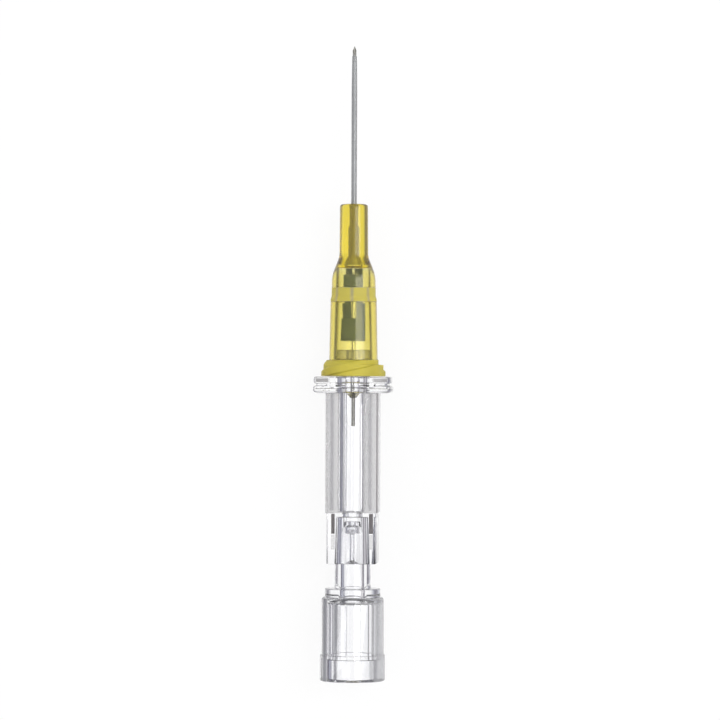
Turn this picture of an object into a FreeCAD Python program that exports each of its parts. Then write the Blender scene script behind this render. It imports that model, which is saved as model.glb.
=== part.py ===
import FreeCAD, Part
import math
import os

import Sketcher
from FreeCAD import Placement, Rotation, Vector

# Safety IV cannula with a needle guard and a flash plug.
# Frame: the needle points to +Y, the floor is z = 0 and +X is to the right.
# It lies on one flat of the push-off plate and on the rim of the plug.

doc = FreeCAD.newDocument("iv_cannula")


class Length:
    """A length in millimetres with the expression that gives it from the sheet."""

    def __init__(self, value, text):
        self.value = value
        self.text = text

    def __add__(self, other):
        other = length(other)
        return Length(self.value + other.value, f"({self.text} + {other.text})")

    def __sub__(self, other):
        other = length(other)
        return Length(self.value - other.value, f"({self.text} - {other.text})")

    def __mul__(self, other):
        other = length(other)
        return Length(self.value * other.value, f"({self.text} * {other.text})")

    def __truediv__(self, other):
        other = length(other)
        return Length(self.value / other.value, f"({self.text} / {other.text})")

    def __neg__(self):
        return Length(-self.value, f"(0 - {self.text})")


def length(number):
    return number if isinstance(number, Length) else Length(float(number), str(number))


# Driving dimensions in millimetres
SIZES = {
    # Needle and catheter tube
    "needle_outer": 0.46,
    "needle_inner": 0.29,
    "bevel_length": 1.25,
    "tip_exposed": 1.30,
    "tail_free": 3.40,
    "tube_outer": 0.70,
    "tube_tip_outer": 0.57,
    "tube_taper_length": 4.00,
    "tube_exposed": 18.05,
    "tube_flare_outer": 0.90,
    "tube_neck_length": 0.40,
    "needle_gap": 0.02,
    # Steel funnel that wedges the tube in the hub
    "eyelet_tube_outer": 0.66,
    "eyelet_wall": 0.07,
    "eyelet_tube_length": 3.10,
    "funnel_outer": 1.60,
    "funnel_length": 1.50,
    # Luer taper of both sockets: 6 parts in 100 on the diameter
    "luer_mouth": 4.30,
    "luer_taper": 0.06,
    "luer_gap": 0.03,
    # Catheter hub
    "thread_outer": 7.84,
    "thread_length": 1.96,
    "hub_rear_outer": 5.91,
    "hub_front_outer": 5.32,
    "hub_waist_outer": 5.38,
    "hub_step_outer": 5.62,
    "hub_step_length": 0.30,
    "hub_body_length": 10.30,
    "shoulder_length": 2.30,
    "nose_rear_outer": 3.52,
    "nose_front_outer": 3.42,
    "nose_length": 6.40,
    "nose_round": 0.40,
    "shoulder_round": 0.60,
    "thread_edge": 0.30,
    "socket_depth": 9.10,
    "ridge_length": 1.65,
    "ridge_bore": 3.10,
    "notch_count": 8,
    "notch_width": 0.50,
    "chamber_length": 2.05,
    "chamber_bore": 3.70,
    "chamber_cone_length": 0.60,
    "nose_mouth": 1.10,
    "nose_mouth_length": 0.50,
    "seat_gap": 0.06,
    # Needle guard clip, folded from one strip
    "clip_thickness": 0.20,
    "clip_width": 2.80,
    "clip_front_width": 2.20,
    "clip_height": 2.00,
    "clip_jaw_height": 1.90,
    "clip_crossing": 4.60,
    "clip_bend": 6.60,
    "clip_front_gap": 0.51,
    "clip_jaw_stagger": 0.70,
    "clip_slot_half": 0.30,
    "clip_slot_start": 2.75,
    "clip_slot_end": 5.50,
    "clip_gap": 0.04,
    "clip_behind_ridge": 4.81,
    # Needle hub
    "male_nose_length": 3.25,
    "plate_front_width": 9.40,
    "plate_width": 9.60,
    "plate_height": 7.94,
    "plate_round": 2.20,
    "plate_front_length": 0.88,
    "plate_groove_length": 0.16,
    "plate_groove_depth": 0.35,
    "plate_rear_length": 0.96,
    "grip_length": 14.60,
    "grip_width": 6.75,
    "grip_height": 5.80,
    "rail_width": 1.60,
    "web_height": 4.50,
    "socket_outer_width": 6.24,
    "socket_outer_height": 5.70,
    "socket_outer_round": 2.20,
    "socket_outer_length": 6.15,
    "socket_inner_depth": 5.70,
    "flash_bore": 3.00,
    "flash_into_plate": 0.45,
    "boss_length": 1.10,
    "boss_base": 2.56,
    "boss_tip": 0.90,
    "well_bore": 1.20,
    "well_depth": 2.20,
    # Flash plug
    "band_outer": 7.92,
    "band_length": 3.15,
    "skirt_outer": 7.64,
    "skirt_length": 10.20,
    "skirt_edge": 0.35,
    "skirt_edge_length": 0.70,
    "collar_outer": 6.77,
    "collar_length": 1.05,
    "plug_neck_length": 3.05,
    "plug_insert": 3.90,
    "plug_tip_length": 1.30,
    "plug_tip_outer": 2.86,
    "band_bore": 5.10,
    "band_bore_depth": 2.60,
    "skirt_bore": 4.60,
    "plug_end_wall": 0.70,
    "channel_bore": 2.30,
    "orifice_bore": 1.00,
    "orifice_length": 0.80,
    "orifice_cone_length": 0.80,
    "membrane_outer": 3.80,
    "membrane_thickness": 0.15,
}

sheet = doc.addObject("Spreadsheet::Sheet", "Sizes")
for row, (alias, number) in enumerate(SIZES.items(), start=1):
    sheet.set(f"A{row}", str(number))
    sheet.setAlias(f"A{row}", alias)
doc.recompute()

size = {alias: Length(number, f"Sizes.{alias}") for alias, number in SIZES.items()}


def half(alias):
    return size[alias] / 2


# Stations along the axis, measured from the rear face of the plug
ZERO = length(0)
plug_shoulder = size["skirt_length"] + size["collar_length"]
needle_hub_rear = plug_shoulder + size["plug_neck_length"]
grip_front = needle_hub_rear + size["socket_outer_length"] + size["grip_length"]
plate_length = size["plate_rear_length"] + size["plate_groove_length"] + size["plate_front_length"]
plate_front = grip_front + plate_length
male_nose_front = plate_front + size["male_nose_length"]
hub_mouth = plate_front + size["seat_gap"]
hub_length = (
    size["thread_length"] + size["hub_body_length"] + size["shoulder_length"] + size["nose_length"]
)
hub_front = hub_mouth + hub_length
clip_rear = hub_mouth + size["socket_depth"] - size["clip_behind_ridge"]
chamber_start = size["socket_depth"] + size["ridge_length"]
funnel_mouth = chamber_start + size["chamber_length"] + size["chamber_cone_length"]
eyelet_rear = hub_mouth + funnel_mouth
clip_lower_reach = eyelet_rear - clip_rear - size["clip_front_gap"]
clip_upper_reach = clip_lower_reach - size["clip_jaw_stagger"]
tube_rear = eyelet_rear + size["funnel_length"]
tube_front = hub_front + size["tube_exposed"]
needle_front = tube_front + size["tip_exposed"]
boss_front = grip_front + size["flash_into_plate"]
needle_rear = boss_front - size["boss_length"] - size["tail_free"]
bore_shoulder = size["skirt_length"] - size["plug_end_wall"]
membrane_rear = bore_shoulder - size["membrane_thickness"]


def luer_radius(depth):
    """Radius of a female luer socket at a depth behind its mouth."""
    return half("luer_mouth") - size["luer_taper"] / 2 * depth


def male_radius(depth):
    """Radius of the male luer cone that lies at a depth in a socket."""
    return luer_radius(depth) - size["luer_gap"]


def new_body(name):
    body = doc.addObject("PartDesign::Body", name)
    body.Label = name
    return body


def origin_plane(body, role):
    return next(item for item in body.Origin.OriginFeatures if item.Role == role)


def new_sketch(body, name, role):
    sketch = body.newObject("Sketcher::SketchObject", name)
    sketch.AttachmentSupport = (origin_plane(body, role), [""])
    sketch.MapMode = "FlatFace"
    return sketch


def cross_section(body, name, station):
    """Sketch across the axis at a distance in front of the body's own rear face."""
    sketch = new_sketch(body, name, "XZ_Plane")
    sketch.AttachmentOffset = Placement(Vector(0, 0, -station.value), Rotation())
    sketch.setExpression("AttachmentOffset.Base.z", f"-({station.text})")
    return sketch


def pin_point(sketch, geometry, which, across, along):
    """Fix a point of the sketch at two lengths from its origin."""
    for kind, axis, place in (("DistanceX", -2, across), ("DistanceY", -1, along)):
        if place is ZERO:
            sketch.addConstraint(Sketcher.Constraint("PointOnObject", geometry, which, axis))
            continue
        rule = sketch.addConstraint(
            Sketcher.Constraint(kind, -1, 1, geometry, which, place.value)
        )
        sketch.setExpression(f"Constraints[{rule}]", place.text)


def add_outline(sketch, points):
    """Closed outline of straight lines through points given as pairs of lengths."""
    first = sketch.GeometryCount
    spots = [Vector(across.value, along.value, 0) for across, along in points]
    for start, end in zip(spots, spots[1:] + spots[:1]):
        sketch.addGeometry(Part.LineSegment(start, end), False)
    for step, (across, along) in enumerate(points):
        before = first + (step - 1) % len(points)
        sketch.addConstraint(Sketcher.Constraint("Coincident", before, 2, first + step, 1))
        pin_point(sketch, first + step, 1, across, along)


def add_slot(sketch, centre, width, height):
    """Upright slot with round ends, its centre on the sketch's horizontal axis."""
    first = sketch.GeometryCount
    radius = width.value / 2
    top = height.value / 2 - radius
    left = centre.value - radius
    right = centre.value + radius
    up = Vector(0, 0, 1)
    upper = Part.Circle(Vector(centre.value, top, 0), up, radius)
    lower = Part.Circle(Vector(centre.value, -top, 0), up, radius)
    sketch.addGeometry(Part.LineSegment(Vector(right, -top, 0), Vector(right, top, 0)), False)
    sketch.addGeometry(Part.ArcOfCircle(upper, 0, math.pi), False)
    sketch.addGeometry(Part.LineSegment(Vector(left, top, 0), Vector(left, -top, 0)), False)
    sketch.addGeometry(Part.ArcOfCircle(lower, math.pi, math.pi * 2), False)
    for step in range(4):
        after = first + (step + 1) % 4
        sketch.addConstraint(Sketcher.Constraint("Tangent", first + step, 2, after, 1))
    sketch.addConstraint(Sketcher.Constraint("Vertical", first))
    pin_point(sketch, first + 1, 3, centre, height / 2 - width / 2)
    pin_point(sketch, first + 3, 3, centre, width / 2 - height / 2)
    rule = sketch.addConstraint(Sketcher.Constraint("Radius", first + 1, radius))
    sketch.setExpression(f"Constraints[{rule}]", (width / 2).text)


def add_rounded_box(sketch, width, height, radius):
    """Rectangle about the origin with four round corners."""
    first = sketch.GeometryCount
    across = width / 2 - radius
    up = height / 2 - radius
    right = across.value
    top = up.value
    bend = radius.value
    sides = [
        ((-right, -top - bend), (right, -top - bend)),
        ((right + bend, -top), (right + bend, top)),
        ((right, top + bend), (-right, top + bend)),
        ((-right - bend, top), (-right - bend, -top)),
    ]
    corners = [(across, -up), (across, up), (-across, up), (-across, -up)]
    for step, (start, end) in enumerate(sides):
        sketch.addGeometry(Part.LineSegment(Vector(*start, 0), Vector(*end, 0)), False)
        centre = Vector(corners[step][0].value, corners[step][1].value, 0)
        circle = Part.Circle(centre, Vector(0, 0, 1), bend)
        turn = (step - 1) * math.pi / 2
        sketch.addGeometry(Part.ArcOfCircle(circle, turn, turn + math.pi / 2), False)
    for step in range(8):
        after = first + (step + 1) % 8
        sketch.addConstraint(Sketcher.Constraint("Tangent", first + step, 2, after, 1))
    for step, (sideways, upward) in enumerate(corners):
        pin_point(sketch, first + step * 2 + 1, 3, sideways, upward)
    for step in range(1, 4):
        other = first + step * 2 + 1
        sketch.addConstraint(Sketcher.Constraint("Equal", first + 1, other))
    rule = sketch.addConstraint(Sketcher.Constraint("Radius", first + 1, bend))
    sketch.setExpression(f"Constraints[{rule}]", radius.text)


def add_circle(sketch, diameter, across=ZERO, along=ZERO):
    spot = Vector(across.value, along.value, 0)
    circle = Part.Circle(spot, Vector(0, 0, 1), diameter.value / 2)
    number = sketch.addGeometry(circle, False)
    pin_point(sketch, number, 3, across, along)
    rule = sketch.addConstraint(Sketcher.Constraint("Diameter", number, diameter.value))
    sketch.setExpression(f"Constraints[{rule}]", diameter.text)


def box_outline(width, height):
    """Corners of a rectangle about the origin."""
    right = width / 2
    top = height / 2
    return [(-right, -top), (right, -top), (right, top), (-right, top)]


def turned(body, name, points, cut=False):
    """Solid or cut turned about the Y axis from pairs of radius and distance."""
    sketch = new_sketch(body, f"{name}_profile", "XY_Plane")
    add_outline(sketch, points)
    kind = "PartDesign::Groove" if cut else "PartDesign::Revolution"
    feature = body.newObject(kind, name)
    feature.Profile = sketch
    feature.ReferenceAxis = (sketch, ["V_Axis"])
    feature.Angle = 360.0
    doc.recompute()
    return feature


def extruded(body, name, sketch, depth):
    """Pad of a cross-section towards the tip."""
    pad = body.newObject("PartDesign::Pad", name)
    pad.Profile = sketch
    pad.Length = depth.value
    pad.setExpression("Length", depth.text)
    pad.Reversed = True
    doc.recompute()
    return pad


def cut_through(body, name, sketch):
    """Pocket through the whole body, both ways from its sketch."""
    pocket = body.newObject("PartDesign::Pocket", name)
    pocket.Profile = sketch
    pocket.Type = "ThroughAll"
    pocket.Midplane = True
    doc.recompute()
    return pocket


def round_edges(body, name, radius, picked):
    """Fillet on the edges of the body's last shape that a test picks."""
    base = body.Tip
    edges = [f"Edge{n}" for n, edge in enumerate(base.Shape.Edges, start=1) if picked(edge)]
    fillet = body.newObject("PartDesign::Fillet", name)
    fillet.Base = (base, edges)
    fillet.Radius = radius.value
    fillet.setExpression("Radius", radius.text)
    doc.recompute()
    return fillet


def is_rim(edge, radius, along):
    """True for a round edge of that radius at that distance along the axis."""
    if not isinstance(edge.Curve, Part.Circle):
        return False
    same_radius = abs(edge.Curve.Radius - radius.value) < 1e-4
    return same_radius and abs(edge.Curve.Center.y - along.value) < 1e-4


def place(body, station):
    """Put the body's own rear face at its station on the axis, above the floor."""
    along = station - needle_front / 2
    up = half("plate_height")
    body.Placement = Placement(Vector(0, along.value, up.value), Rotation())
    body.setExpression("Placement.Base.y", along.text)
    body.setExpression("Placement.Base.z", up.text)


# Needle: steel tube with a bevel that faces up and two side facets at its point
needle = new_body("needle_cannula")
needle_length = needle_front - needle_rear
needle_radius = half("needle_outer")
turned(
    needle,
    "needle_wall",
    [
        (half("needle_inner"), ZERO),
        (needle_radius, ZERO),
        (needle_radius, needle_length),
        (half("needle_inner"), needle_length),
    ],
)
bevel_sketch = new_sketch(needle, "bevel_profile", "YZ_Plane")
bevel_start = needle_length - size["bevel_length"]
add_outline(
    bevel_sketch,
    [
        (bevel_start, needle_radius),
        (needle_length, -needle_radius),
        (needle_length + needle_radius, -needle_radius),
        (needle_length + needle_radius, needle_radius),
    ],
)
cut_through(needle, "bevel", bevel_sketch)
facet_sketch = new_sketch(needle, "facet_profile", "XY_Plane")
facet_start = needle_length - size["bevel_length"] / 2
for side in (1, -1):
    add_outline(
        facet_sketch,
        [
            (needle_radius * side, facet_start),
            (needle_radius * side * 2, facet_start),
            (needle_radius * side * 2, needle_length + needle_radius),
            (needle_radius * side / 20, needle_length + needle_radius),
            (needle_radius * side / 20, needle_length),
        ],
    )
cut_through(needle, "point_facets", facet_sketch)
place(needle, needle_rear)

# Catheter tube: its rear end is stretched over the tube of the steel funnel
tube = new_body("catheter_tube")
tube_length = tube_front - tube_rear
tube_bore = needle_radius + size["needle_gap"]
flare_length = size["eyelet_tube_length"]
neck_front = flare_length + size["tube_neck_length"]
turned(
    tube,
    "tube_wall",
    [
        (half("eyelet_tube_outer"), ZERO),
        (half("tube_flare_outer"), ZERO),
        (half("tube_flare_outer"), flare_length),
        (half("tube_outer"), neck_front),
        (half("tube_outer"), tube_length - size["tube_taper_length"]),
        (half("tube_tip_outer"), tube_length),
        (tube_bore, tube_length),
        (tube_bore, neck_front),
        (half("eyelet_tube_outer"), flare_length),
    ],
)
place(tube, tube_rear)

# Steel funnel in the hub
eyelet = new_body("catheter_eyelet")
eyelet_front = size["funnel_length"] + size["eyelet_tube_length"]
eyelet_bore = half("eyelet_tube_outer") - size["eyelet_wall"]
turned(
    eyelet,
    "eyelet_wall",
    [
        (half("funnel_outer") - size["eyelet_wall"], ZERO),
        (half("funnel_outer"), ZERO),
        (half("eyelet_tube_outer"), size["funnel_length"]),
        (half("eyelet_tube_outer"), eyelet_front),
        (eyelet_bore, eyelet_front),
        (eyelet_bore, size["funnel_length"]),
    ],
)
place(eyelet, eyelet_rear)

# Catheter hub: thread ring, body, shoulder and nose around one stepped bore
hub = new_body("catheter_hub")
shoulder_start = size["thread_length"] + size["hub_body_length"]
step_start = size["socket_depth"] + size["hub_step_length"]
nose_start = shoulder_start + size["shoulder_length"]
funnel_slope = (half("funnel_outer") - half("eyelet_tube_outer")) / size["funnel_length"]
cone_end = funnel_mouth + (half("funnel_outer") - half("tube_flare_outer")) / funnel_slope
flare_end = funnel_mouth + size["funnel_length"] + flare_length
turned(
    hub,
    "hub_wall",
    [
        (half("luer_mouth"), ZERO),
        (half("thread_outer"), ZERO),
        (half("thread_outer"), size["thread_length"] - size["thread_edge"]),
        (half("thread_outer") - size["thread_edge"], size["thread_length"]),
        (half("hub_rear_outer"), size["thread_length"]),
        (half("hub_step_outer"), step_start),
        (half("hub_waist_outer"), step_start + size["hub_step_length"]),
        (half("hub_front_outer"), shoulder_start),
        (half("nose_rear_outer"), nose_start),
        (half("nose_front_outer"), hub_length),
        (half("nose_mouth"), hub_length),
        (half("tube_outer"), hub_length - size["nose_mouth_length"]),
        (half("tube_outer"), flare_end + size["tube_neck_length"]),
        (half("tube_flare_outer"), flare_end),
        (half("tube_flare_outer"), cone_end),
        (half("funnel_outer"), funnel_mouth),
        (half("chamber_bore"), chamber_start + size["chamber_length"]),
        (half("chamber_bore"), chamber_start),
        (half("ridge_bore"), chamber_start),
        (half("ridge_bore"), size["socket_depth"]),
        (luer_radius(size["socket_depth"]), size["socket_depth"]),
    ],
)
round_edges(
    hub,
    "nose_rim",
    size["nose_round"],
    lambda edge: is_rim(edge, half("nose_front_outer"), hub_length),
)
round_edges(
    hub,
    "shoulder_rim",
    size["shoulder_round"],
    lambda edge: is_rim(edge, half("hub_front_outer"), shoulder_start),
)

# Notches in the inner ridge, which let the clip's corners and air past
notch_sketch = cross_section(hub, "notch_section", size["socket_depth"])
notch_top = half("ridge_bore") + (half("chamber_bore") - half("ridge_bore")) * 0.8
add_outline(
    notch_sketch,
    [
        (-half("notch_width"), half("ridge_bore") * 0.9),
        (half("notch_width"), half("ridge_bore") * 0.9),
        (half("notch_width"), notch_top),
        (-half("notch_width"), notch_top),
    ],
)
notch = hub.newObject("PartDesign::Pocket", "ridge_notch")
notch.Profile = notch_sketch
notch.setExpression("Length", size["ridge_length"].text)
doc.recompute()
notches = hub.newObject("PartDesign::PolarPattern", "ridge_notches")
notches.Originals = [notch]
notches.Axis = (notch_sketch, ["N_Axis"])
notches.Angle = 360.0
notches.setExpression("Occurrences", "Sizes.notch_count")
hub.Tip = notches
doc.recompute()

place(hub, hub_mouth)

# Needle guard clip: a rear wall with two arms that cross beside the needle
wall = size["clip_thickness"]
jaw_gap = needle_radius + size["clip_gap"]
jaw_top = half("clip_jaw_height")
arms = []
for name, side, reach in (
    ("clip_arm_down", 1, clip_lower_reach),
    ("clip_arm_up", -1, clip_upper_reach),
):
    arm = new_body(name)
    arm_sketch = new_sketch(arm, f"{name}_path", "YZ_Plane")
    add_outline(
        arm_sketch,
        [
            (ZERO, half("clip_height") * side),
            (size["clip_crossing"], wall / 2 * side),
            (size["clip_bend"], (wall - jaw_top) * side),
            (reach - wall, (wall - jaw_top) * side),
            (reach - wall, jaw_gap * -side),
            (reach, jaw_gap * -side),
            (reach, jaw_top * -side),
            (size["clip_bend"], jaw_top * -side),
            (size["clip_crossing"], wall / 2 * -side),
            (ZERO, (half("clip_height") - wall) * side),
        ],
    )
    pad = arm.newObject("PartDesign::Pad", f"{name}_strip")
    pad.Profile = arm_sketch
    pad.setExpression("Length", size["clip_width"].text)
    pad.Midplane = True
    doc.recompute()
    trim_sketch = new_sketch(arm, f"{name}_trim", "XY_Plane")
    wide = half("clip_width") * 2
    narrow = half("clip_front_width")
    far = clip_lower_reach * 2
    add_outline(
        trim_sketch,
        [
            (narrow * side, size["clip_crossing"]),
            (wide * side, size["clip_crossing"]),
            (wide * side, far),
            (narrow * side, far),
        ],
    )
    add_outline(
        trim_sketch,
        [
            (wide * -side, size["clip_slot_start"]),
            (size["clip_slot_half"] * side, size["clip_slot_start"]),
            (size["clip_slot_half"] * side, size["clip_slot_end"]),
            (narrow * -side, size["clip_slot_end"]),
            (narrow * -side, far),
            (wide * -side, far),
        ],
    )
    cut_through(arm, f"{name}_outline", trim_sketch)
    arms.append(arm)

rear_wall = new_body("clip_rear_wall")
wall_sketch = cross_section(rear_wall, "clip_wall_section", ZERO + 0)
add_outline(wall_sketch, box_outline(size["clip_width"], size["clip_height"]))
add_circle(wall_sketch, size["needle_outer"] + size["clip_gap"] * 2)
extruded(rear_wall, "clip_wall", wall_sketch, wall)
clip = doc.addObject("Part::MultiFuse", "safety_clip")
clip.Label = "safety_clip"
clip.Shapes = [rear_wall] + arms
doc.recompute()
place(clip, clip_rear)

# Needle hub: socket, grip with two rails on each face, push-off plate and nose
holder = new_body("needle_hub")
socket_end = size["socket_outer_length"]
grip_end = socket_end + size["grip_length"]
socket_section = cross_section(holder, "socket_section", ZERO + 0)
add_rounded_box(
    socket_section,
    size["socket_outer_width"],
    size["socket_outer_height"],
    size["socket_outer_round"],
)
extruded(holder, "socket_block", socket_section, socket_end)
web_section = cross_section(holder, "web_section", socket_end)
add_outline(
    web_section, box_outline(size["grip_width"] - size["rail_width"], size["web_height"])
)
extruded(holder, "web", web_section, size["grip_length"])
rail_section = cross_section(holder, "rail_section", socket_end)
rail_centre = half("grip_width") - half("rail_width")
for side in (1, -1):
    add_slot(rail_section, rail_centre * side, size["rail_width"], size["grip_height"])
extruded(holder, "rails", rail_section, size["grip_length"])

plate_start = grip_end
plate_tiers = [
    ("plate_rear", size["plate_width"], ZERO, size["plate_rear_length"]),
    (
        "plate_waist",
        size["plate_front_width"],
        size["plate_groove_depth"],
        size["plate_groove_length"],
    ),
    ("plate_front", size["plate_front_width"], ZERO, size["plate_front_length"]),
]
for name, width, inset, depth in plate_tiers:
    plate_section = cross_section(holder, f"{name}_section", plate_start)
    add_rounded_box(
        plate_section,
        width - inset * 2,
        size["plate_height"] - inset * 2,
        size["plate_round"] - inset,
    )
    extruded(holder, name, plate_section, depth)
    plate_start = plate_start + depth

nose_end = plate_start + size["male_nose_length"]
nose_depth = size["male_nose_length"] - size["seat_gap"]
turned(
    holder,
    "male_nose",
    [
        (ZERO, plate_start - size["plate_front_length"]),
        (male_radius(ZERO + 0), plate_start - size["plate_front_length"]),
        (male_radius(ZERO + 0), plate_start),
        (male_radius(nose_depth), nose_end),
        (ZERO, nose_end),
    ],
)
flash_end = grip_end + size["flash_into_plate"]
boss_end = flash_end - size["boss_length"]
well_bottom = nose_end - size["well_depth"]
needle_hole = needle_radius + size["needle_gap"]
turned(
    holder,
    "bores",
    [
        (ZERO, ZERO),
        (half("luer_mouth"), ZERO),
        (luer_radius(size["socket_inner_depth"]), size["socket_inner_depth"]),
        (half("flash_bore"), socket_end),
        (half("flash_bore"), flash_end),
        (half("boss_base"), flash_end),
        (half("boss_tip"), boss_end),
        (needle_hole, boss_end),
        (needle_hole, well_bottom),
        (half("well_bore"), well_bottom),
        (half("well_bore"), nose_end),
        (ZERO, nose_end),
    ],
    cut=True,
)
place(holder, needle_hub_rear)

# Glue around the needle in the well of the nose
glue = new_body("needle_adhesive")
turned(
    glue,
    "glue_ring",
    [
        (needle_radius, ZERO),
        (half("well_bore"), ZERO),
        (half("well_bore"), size["well_depth"]),
        (needle_radius, size["well_depth"]),
    ],
)
place(glue, male_nose_front - size["well_depth"])

# Flash plug: rear band, hollow skirt, collar and a luer nose with a channel
plug = new_body("vent_plug")
plug_cone_end = plug_shoulder + size["plug_neck_length"] + size["plug_insert"]
plug_length = plug_cone_end + size["plug_tip_length"]
orifice_start = plug_length - size["orifice_length"]
channel_end = orifice_start - size["orifice_cone_length"]
turned(
    plug,
    "plug_wall",
    [
        (half("band_bore"), ZERO),
        (half("band_outer"), ZERO),
        (half("band_outer"), size["band_length"]),
        (half("skirt_outer"), size["band_length"]),
        (half("skirt_outer"), size["skirt_length"] - size["skirt_edge_length"]),
        (half("skirt_outer") - size["skirt_edge"], size["skirt_length"]),
        (half("collar_outer"), size["skirt_length"]),
        (half("collar_outer"), plug_shoulder),
        (male_radius(-size["plug_neck_length"]), plug_shoulder),
        (male_radius(size["plug_insert"]), plug_cone_end),
        (half("plug_tip_outer"), plug_length),
        (half("orifice_bore"), plug_length),
        (half("orifice_bore"), orifice_start),
        (half("channel_bore"), channel_end),
        (half("channel_bore"), bore_shoulder),
        (half("skirt_bore"), bore_shoulder),
        (half("skirt_bore"), size["band_bore_depth"]),
        (half("band_bore"), size["band_bore_depth"]),
    ],
)
place(plug, ZERO + 0)

# Porous disc on the shoulder between the plug's bore and its channel
membrane = new_body("filter_membrane")
membrane_sketch = cross_section(membrane, "membrane_section", ZERO + 0)
add_circle(membrane_sketch, size["membrane_outer"])
extruded(membrane, "membrane_disc", membrane_sketch, size["membrane_thickness"])
place(membrane, membrane_rear)

doc.recompute()

# Check every object, then write one file for each piece
pieces = [needle, tube, eyelet, hub, clip, holder, glue, plug, membrane]
for item in doc.Objects:
    if "Invalid" in item.State or "Error" in item.State:
        raise RuntimeError(f"{item.Name} failed: {item.State}")
for piece in pieces:
    if piece.Shape.isNull() or not piece.Shape.isValid():
        raise RuntimeError(f"{piece.Label} has no valid shape")
    if len(piece.Shape.Solids) != 1:
        raise RuntimeError(f"{piece.Label} has {len(piece.Shape.Solids)} solids")

os.makedirs("parts", exist_ok=True)
for piece in pieces:
    piece.Shape.exportStep(f"parts/{piece.Label}.step")
    box = piece.Shape.BoundBox
    print(
        f"{piece.Label}: volume {piece.Shape.Volume:.3f}, x {box.XMin:.3f} to {box.XMax:.3f}, "
        f"y {box.YMin:.3f} to {box.YMax:.3f}, z {box.ZMin:.3f} to {box.ZMax:.3f}"
    )
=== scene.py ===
"""IV cannula on a pale light table, seen from above and a little from its right.

Lengths in the tables are millimetres from a piece's own rear face, and MM turns
them into the frame's metres. The outline of a turned piece has points of
(radius, along) or (radius, along, rounding). +Y points to the needle's tip,
+X to the right and +Z up.
"""

import math

import bmesh
import bpy
from mathutils import Matrix, Vector


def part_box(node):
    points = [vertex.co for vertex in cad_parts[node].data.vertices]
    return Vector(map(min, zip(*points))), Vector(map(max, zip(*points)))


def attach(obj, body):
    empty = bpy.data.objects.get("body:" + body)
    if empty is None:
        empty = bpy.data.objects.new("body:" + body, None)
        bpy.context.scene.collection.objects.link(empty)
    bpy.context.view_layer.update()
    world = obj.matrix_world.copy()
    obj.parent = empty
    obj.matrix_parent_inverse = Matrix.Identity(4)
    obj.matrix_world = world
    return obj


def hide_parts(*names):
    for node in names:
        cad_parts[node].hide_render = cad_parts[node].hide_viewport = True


MM = 0.001

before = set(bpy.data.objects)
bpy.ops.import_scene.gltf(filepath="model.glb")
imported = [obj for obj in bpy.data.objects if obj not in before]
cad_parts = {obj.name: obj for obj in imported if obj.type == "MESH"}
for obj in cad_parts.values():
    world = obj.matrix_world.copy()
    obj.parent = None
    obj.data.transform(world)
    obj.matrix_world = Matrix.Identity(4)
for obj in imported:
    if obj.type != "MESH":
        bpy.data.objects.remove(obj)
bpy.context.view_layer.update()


# Places read from the frame

def rear(node):
    """Y of the node's rear end, in metres."""
    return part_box(node)[0].y


def node_length(node):
    low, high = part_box(node)
    return (high.y - low.y) / MM


def node_width(node):
    low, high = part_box(node)
    return (high.x - low.x) / MM


def node_height(node):
    low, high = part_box(node)
    return (high.z - low.z) / MM


AXIS_Z = sum(corner.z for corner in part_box("needle_hub")) / 2


# Mesh helpers. Vertices closer than a weld and edges shorter than a sliver go, in metres
NEW_WELD = 1e-7
LATHE_WELD = 1e-8
LATHE_SLIVER = 1e-9
CUT_WELD = 2e-7
CUT_SLIVER = 1e-7
SHARP_ANGLE = 32.0
CORNER_STEPS = 5
CORNER_REACH = 0.49
SHORTEST_SIDE = 1e-6
END_ARC = [math.radians(angle) for angle in (0, 22.5, 45, 67.5, 90)]


def clamp(value):
    """The value, held between 0 and 1."""
    return min(1.0, max(0.0, value))


def spot_at(across, along, up, station):
    """Place in the frame of a point given in millimetres from the axis and the station."""
    return (across * MM, station + along * MM, AXIS_Z + up * MM)


def new_object(name, bm):
    """Object from a bmesh, smooth shaded with its corners kept sharp."""
    bmesh.ops.remove_doubles(bm, verts=bm.verts, dist=NEW_WELD)
    bmesh.ops.recalc_face_normals(bm, faces=bm.faces)
    mesh = bpy.data.meshes.new(name)
    bm.to_mesh(mesh)
    bm.free()
    mesh.shade_smooth()
    mesh.set_sharp_from_angle(angle=math.radians(SHARP_ANGLE))
    obj = bpy.data.objects.new(name, mesh)
    bpy.context.scene.collection.objects.link(obj)
    return obj


def rounded(points):
    """Closed outline of (radius, along) with the corners that have a rounding made round."""
    out = []
    count = len(points)
    for i, point in enumerate(points):
        here = Vector(point[:2])
        size = point[2] if len(point) > 2 else 0.0
        before = Vector(points[i - 1][:2]) - here
        after = Vector(points[(i + 1) % count][:2]) - here
        if size <= 0.0 or min(before.length, after.length) < SHORTEST_SIDE:
            out.append(tuple(here))
            continue
        reach = min(size, before.length * CORNER_REACH, after.length * CORNER_REACH)
        start = here + before.normalized() * reach
        end = here + after.normalized() * reach
        for k in range(CORNER_STEPS + 1):
            t = k / CORNER_STEPS
            spot = start * (1 - t) ** 2 + here * (2 * t * (1 - t)) + end * t * t
            out.append(tuple(spot))
    return out


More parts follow.
